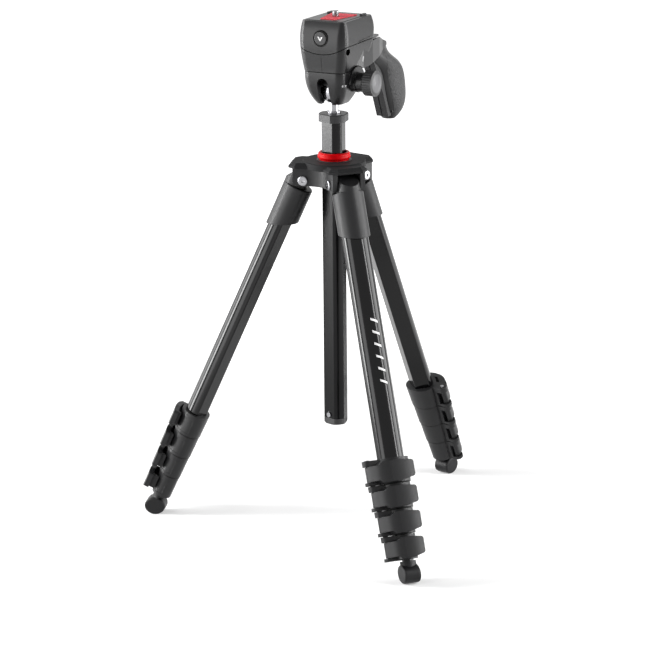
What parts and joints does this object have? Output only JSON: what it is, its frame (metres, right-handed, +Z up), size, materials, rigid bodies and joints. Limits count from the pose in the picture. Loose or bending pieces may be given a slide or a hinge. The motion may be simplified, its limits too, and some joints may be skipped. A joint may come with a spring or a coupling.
{
  "type": "travel tripod with grip ball head",
  "caption": "Folding camera tripod with nested D-section legs, flip locks, a sliding centre column and a pistol-grip ball head with a quick-release plate.",
  "frame": {"origin": "middle of the footprint on the ground, the bottom centre of the bounding box at rest", "axes": "+Z up along the centre column; the front leg points to -Y; the head is panned so that its grip points away from the front leg and to the right"},
  "size_m": [0.3268, 0.2894, 0.4795],
  "materials": {
    "casting": "fine satin paint",
    "moulding": "fine matte grain",
    "rubbery": "soft matte",
    "knob": "satin",
    "column": "satin anodised, dark",
    "column_end": "satin",
    "chrome": "polished",
    "washer": "plain",
    "red_ring": "satin red",
    "red_pad": "soft red",
    "leg_tube": "high gloss black",
    "leg_casting": "fine matte grain",
    "lock": "satin",
    "foot": "matte"
  },
  "bodies": {
    "shoulder": {"spider_hub": "casting", "spider_plate": "casting", "leg_bolts": "chrome", "column_bush": "column_end", "clamp_washer": "washer"},
    "clamp_ring": {"clamp_ring": "red_ring"},
    "column": {"column_tube": "column", "column_cap": "column_end", "column_plug": "column_end", "plug_screw": "chrome"},
    "pan_stem": {"ball_stem": "chrome", "ball": "chrome"},
    "tilt_cradle": {"ball_seat": "washer"},
    "head": {"ball_cup": "moulding", "mid_housing": "moulding", "upper_housing": "moulding", "grip_body": "moulding", "knob_spindle": "moulding"},
    "camera_plate": {"camera_plate": "moulding", "plate_pad": "red_pad"},
    "camera_screw": {"camera_screw": "chrome"},
    "release_button": {"release_button": "moulding"},
    "grip_trigger": {"grip_trigger": "rubbery"},
    "lock_knob": {"lock_knob": "knob"},
    "front_leg": {"front_casting": "leg_casting", "front_tube_1": "leg_tube", "front_collar_1": "lock"},
    "front_section_2": {"front_section_2": "leg_tube"},
    "front_section_3": {"front_section_3": "leg_tube"},
    "front_section_4": {"front_section_4": "leg_tube"},
    "front_section_5": {"front_section_5": "leg_tube", "front_foot": "foot"},
    "front_lever_1": {"front_lever_1": "lock"},
    "front_lever_2": {"front_lever_2": "lock"},
    "front_lever_3": {"front_lever_3": "lock"},
    "front_lever_4": {"front_lever_4": "lock"},
    "left_leg": {"left_casting": "leg_casting", "left_tube_1": "leg_tube", "left_collar_1": "lock"},
    "left_section_2": {"left_section_2": "leg_tube"},
    "left_section_3": {"left_section_3": "leg_tube"},
    "left_section_4": {"left_section_4": "leg_tube"},
    "left_section_5": {"left_section_5": "leg_tube", "left_foot": "foot"},
    "left_lever_1": {"left_lever_1": "lock"},
    "left_lever_2": {"left_lever_2": "lock"},
    "left_lever_3": {"left_lever_3": "lock"},
    "left_lever_4": {"left_lever_4": "lock"},
    "right_leg": {"right_casting": "leg_casting", "right_tube_1": "leg_tube", "right_collar_1": "lock"},
    "right_section_2": {"right_section_2": "leg_tube"},
    "right_section_3": {"right_section_3": "leg_tube"},
    "right_section_4": {"right_section_4": "leg_tube"},
    "right_section_5": {"right_section_5": "leg_tube", "right_foot": "foot"},
    "right_lever_1": {"right_lever_1": "lock"},
    "right_lever_2": {"right_lever_2": "lock"},
    "right_lever_3": {"right_lever_3": "lock"},
    "right_lever_4": {"right_lever_4": "lock"}
  },
  "joints": [
    {"name": "clamp_ring_turn", "type": "hinge", "parent": "shoulder", "child": "clamp_ring", "pos_m": [-0.00009, 0.04019, 0.34561], "axis": [0, 0, 1], "range_deg": [0, 120]},
    {"name": "column_lift", "type": "slide", "parent": "shoulder", "child": "column", "axis": [0, 0, 1], "range_m": [-0.0278, 0.19]},
    {"name": "head_pan", "type": "hinge", "parent": "column", "child": "pan_stem", "pos_m": [-0.00009, 0.04019, 0.40861], "axis": [0, 0, 1], "continuous": true},
    {"name": "head_tilt", "type": "hinge", "parent": "pan_stem", "child": "tilt_cradle", "pos_m": [-0.00009, 0.04019, 0.40861], "axis": [0.6494, -0.7604, 0], "range_deg": [-15, 80]},
    {"name": "head_roll", "type": "hinge", "parent": "tilt_cradle", "child": "head", "pos_m": [-0.00009, 0.04019, 0.40861], "axis": [0.7604, 0.6494, 0], "range_deg": [-12, 12]},
    {"name": "plate_lift", "type": "slide", "parent": "head", "child": "camera_plate", "axis": [0, 0, 1], "range_m": [0, 0.015]},
    {"name": "camera_screw_turn", "type": "hinge", "parent": "camera_plate", "child": "camera_screw", "pos_m": [0.00371, 0.04343, 0.47301], "axis": [0, 0, 1], "continuous": true},
    {"name": "release_press", "type": "slide", "parent": "head", "child": "release_button", "axis": [0.7604, 0.6494, 0], "range_m": [0, 0.0025], "stiffness_N_per_m": 400},
    {"name": "trigger_squeeze", "type": "hinge", "parent": "head", "child": "grip_trigger", "pos_m": [0.07747, 0.10643, 0.37211], "axis": [-0.6494, 0.7604, 0], "range_deg": [0, 4], "stiffness_Nm_per_rad": 3},
    {"name": "lock_knob_turn", "type": "hinge", "parent": "head", "child": "lock_knob", "pos_m": [0.02252, 0.01833, 0.41701], "axis": [0.6494, -0.7604, 0], "range_deg": [0, 180]},
    {"name": "front_leg_fold", "type": "hinge", "parent": "shoulder", "child": "front_leg", "pos_m": [-0.00009, 0.01379, 0.32811], "axis": [1, 0, 0], "range_deg": [0, 24.1]},
    {"name": "front_section_2_slide", "type": "slide", "parent": "front_leg", "child": "front_section_2", "axis": [0, -0.4083, -0.9128], "range_m": [0, 0.2]},
    {"name": "front_section_3_slide", "type": "slide", "parent": "front_section_2", "child": "front_section_3", "axis": [0, -0.4083, -0.9128], "range_m": [0, 0.2]},
    {"name": "front_section_4_slide", "type": "slide", "parent": "front_section_3", "child": "front_section_4", "axis": [0, -0.4083, -0.9128], "range_m": [0, 0.2]},
    {"name": "front_section_5_slide", "type": "slide", "parent": "front_section_4", "child": "front_section_5", "axis": [0, -0.4083, -0.9128], "range_m": [0, 0.2]},
    {"name": "front_lever_1_flip", "type": "hinge", "parent": "front_leg", "child": "front_lever_1", "pos_m": [-0.02379, -0.09746, 0.09239], "axis": [0, -0.4083, -0.9128], "range_deg": [0, 100]},
    {"name": "front_lever_2_flip", "type": "hinge", "parent": "front_section_2", "child": "front_lever_2", "pos_m": [-0.02169, -0.10669, 0.07176], "axis": [0, -0.4083, -0.9128], "range_deg": [0, 100]},
    {"name": "front_lever_3_flip", "type": "hinge", "parent": "front_section_3", "child": "front_lever_3", "pos_m": [-0.01959, -0.11592, 0.05113], "axis": [0, -0.4083, -0.9128], "range_deg": [0, 100]},
    {"name": "front_lever_4_flip", "type": "hinge", "parent": "front_section_4", "child": "front_lever_4", "pos_m": [-0.01749, -0.12515, 0.0305], "axis": [0, -0.4083, -0.9128], "range_deg": [0, 100]},
    {"name": "left_leg_fold", "type": "hinge", "parent": "shoulder", "child": "left_leg", "pos_m": [-0.02295, 0.05339, 0.32811], "axis": [-0.5, -0.866, 0], "range_deg": [0, 24.1]},
    {"name": "left_section_2_slide", "type": "slide", "parent": "left_leg", "child": "left_section_2", "axis": [-0.3536, 0.2042, -0.9128], "range_m": [0, 0.2]},
    {"name": "left_section_3_slide", "type": "slide", "parent": "left_section_2", "child": "left_section_3", "axis": [-0.3536, 0.2042, -0.9128], "range_m": [0, 0.2]},
    {"name": "left_section_4_slide", "type": "slide", "parent": "left_section_3", "child": "left_section_4", "axis": [-0.3536, 0.2042, -0.9128], "range_m": [0, 0.2]},
    {"name": "left_section_5_slide", "type": "slide", "parent": "left_section_4", "child": "left_section_5", "axis": [-0.3536, 0.2042, -0.9128], "range_m": [0, 0.2]},
    {"name": "left_lever_1_flip", "type": "hinge", "parent": "left_leg", "child": "left_lever_1", "pos_m": [-0.10745, 0.12954, 0.09239], "axis": [-0.3536, 0.2042, -0.9128], "range_deg": [0, 100]},
    {"name": "left_lever_2_flip", "type": "hinge", "parent": "left_section_2", "child": "left_lever_2", "pos_m": [-0.11649, 0.13233, 0.07176], "axis": [-0.3536, 0.2042, -0.9128], "range_deg": [0, 100]},
    {"name": "left_lever_3_flip", "type": "hinge", "parent": "left_section_3", "child": "left_lever_3", "pos_m": [-0.12553, 0.13513, 0.05113], "axis": [-0.3536, 0.2042, -0.9128], "range_deg": [0, 100]},
    {"name": "left_lever_4_flip", "type": "hinge", "parent": "left_section_4", "child": "left_lever_4", "pos_m": [-0.13458, 0.13792, 0.0305], "axis": [-0.3536, 0.2042, -0.9128], "range_deg": [0, 100]},
    {"name": "right_leg_fold", "type": "hinge", "parent": "shoulder", "child": "right_leg", "pos_m": [0.02277, 0.05339, 0.32811], "axis": [-0.5, 0.866, 0], "range_deg": [0, 24.1]},
    {"name": "right_section_2_slide", "type": "slide", "parent": "right_leg", "child": "right_section_2", "axis": [0.3536, 0.2042, -0.9128], "range_m": [0, 0.2]},
    {"name": "right_section_3_slide", "type": "slide", "parent": "right_section_2", "child": "right_section_3", "axis": [0.3536, 0.2042, -0.9128], "range_m": [0, 0.2]},
    {"name": "right_section_4_slide", "type": "slide", "parent": "right_section_3", "child": "right_section_4", "axis": [0.3536, 0.2042, -0.9128], "range_m": [0, 0.2]},
    {"name": "right_section_5_slide", "type": "slide", "parent": "right_section_4", "child": "right_section_5", "axis": [0.3536, 0.2042, -0.9128], "range_m": [0, 0.2]},
    {"name": "right_lever_1_flip", "type": "hinge", "parent": "right_leg", "child": "right_lever_1", "pos_m": [0.13097, 0.08849, 0.09239], "axis": [0.3536, 0.2042, -0.9128], "range_deg": [0, 100]},
    {"name": "right_lever_2_flip", "type": "hinge", "parent": "right_section_2", "child": "right_lever_2", "pos_m": [0.13791, 0.09492, 0.07176], "axis": [0.3536, 0.2042, -0.9128], "range_deg": [0, 100]},
    {"name": "right_lever_3_flip", "type": "hinge", "parent": "right_section_3", "child": "right_lever_3", "pos_m": [0.14485, 0.10135, 0.05113], "axis": [0.3536, 0.2042, -0.9128], "range_deg": [0, 100]},
    {"name": "right_lever_4_flip", "type": "hinge", "parent": "right_section_4", "child": "right_lever_4", "pos_m": [0.15179, 0.10779, 0.0305], "axis": [0.3536, 0.2042, -0.9128], "range_deg": [0, 100]}
  ]
}
